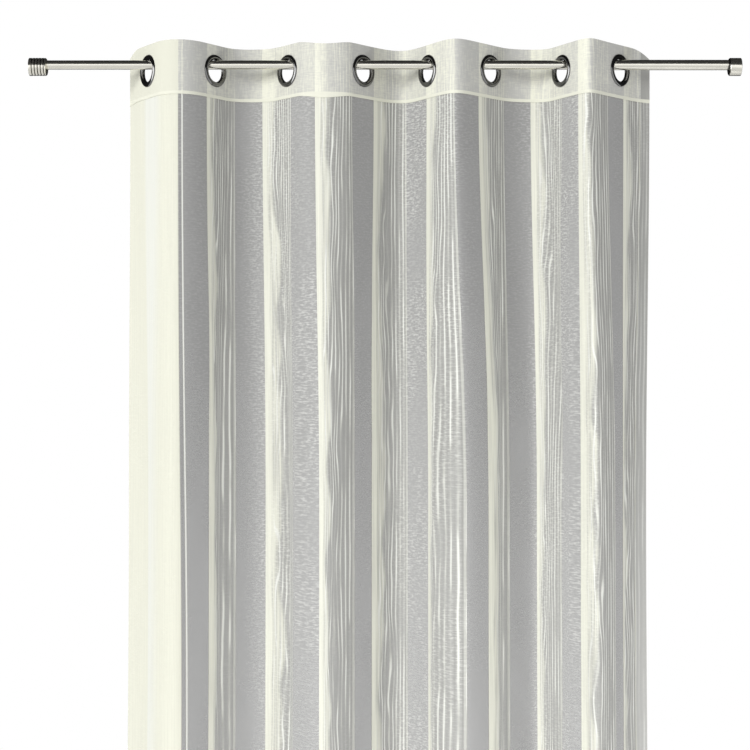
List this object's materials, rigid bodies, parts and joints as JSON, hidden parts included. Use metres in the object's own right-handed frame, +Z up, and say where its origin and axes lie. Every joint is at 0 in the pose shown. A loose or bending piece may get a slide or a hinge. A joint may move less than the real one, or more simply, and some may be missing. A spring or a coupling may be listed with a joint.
{
  "type": "sheer voile eyelet curtain on curtain rod",
  "caption": "Sheer voile curtain with a wide heading band, hung by metal eyelets in soft waves from a slim round rod with plain end caps.",
  "frame": {"origin": "middle of the rod's length, on the axis of its tubes", "axes": "+Z up, +X along the rod to the right as seen from the room, -Y towards the room"},
  "size_m": [1.3248, 0.1358, 2.4],
  "materials": {
    "thin_tube": "satin nickel plated steel tube",
    "thick_tube": "satin nickel plated steel tube",
    "left_cap": "satin nickel plated, turned grooves",
    "right_cap": "satin nickel plated",
    "eyelet_1": "dark polished chrome",
    "eyelet_2": "dark polished chrome",
    "eyelet_3": "dark polished chrome",
    "eyelet_4": "dark polished chrome",
    "eyelet_5": "dark polished chrome",
    "eyelet_6": "dark polished chrome",
    "eyelet_7": "dark polished chrome",
    "eyelet_8": "dark polished chrome",
    "heading_band": "doubled and stiffened voile",
    "voile_panel": "sheer voile with woven cream stripes"
  },
  "bodies": {
    "root": {"thin_tube": "thin_tube", "thick_tube": "thick_tube", "left_cap": "left_cap", "right_cap": "right_cap", "eyelet_1": "eyelet_1", "eyelet_2": "eyelet_2", "eyelet_3": "eyelet_3", "eyelet_4": "eyelet_4", "eyelet_5": "eyelet_5", "eyelet_6": "eyelet_6", "eyelet_7": "eyelet_7", "eyelet_8": "eyelet_8", "heading_band": "heading_band", "voile_panel": "voile_panel"}
  },
  "joints": []
}
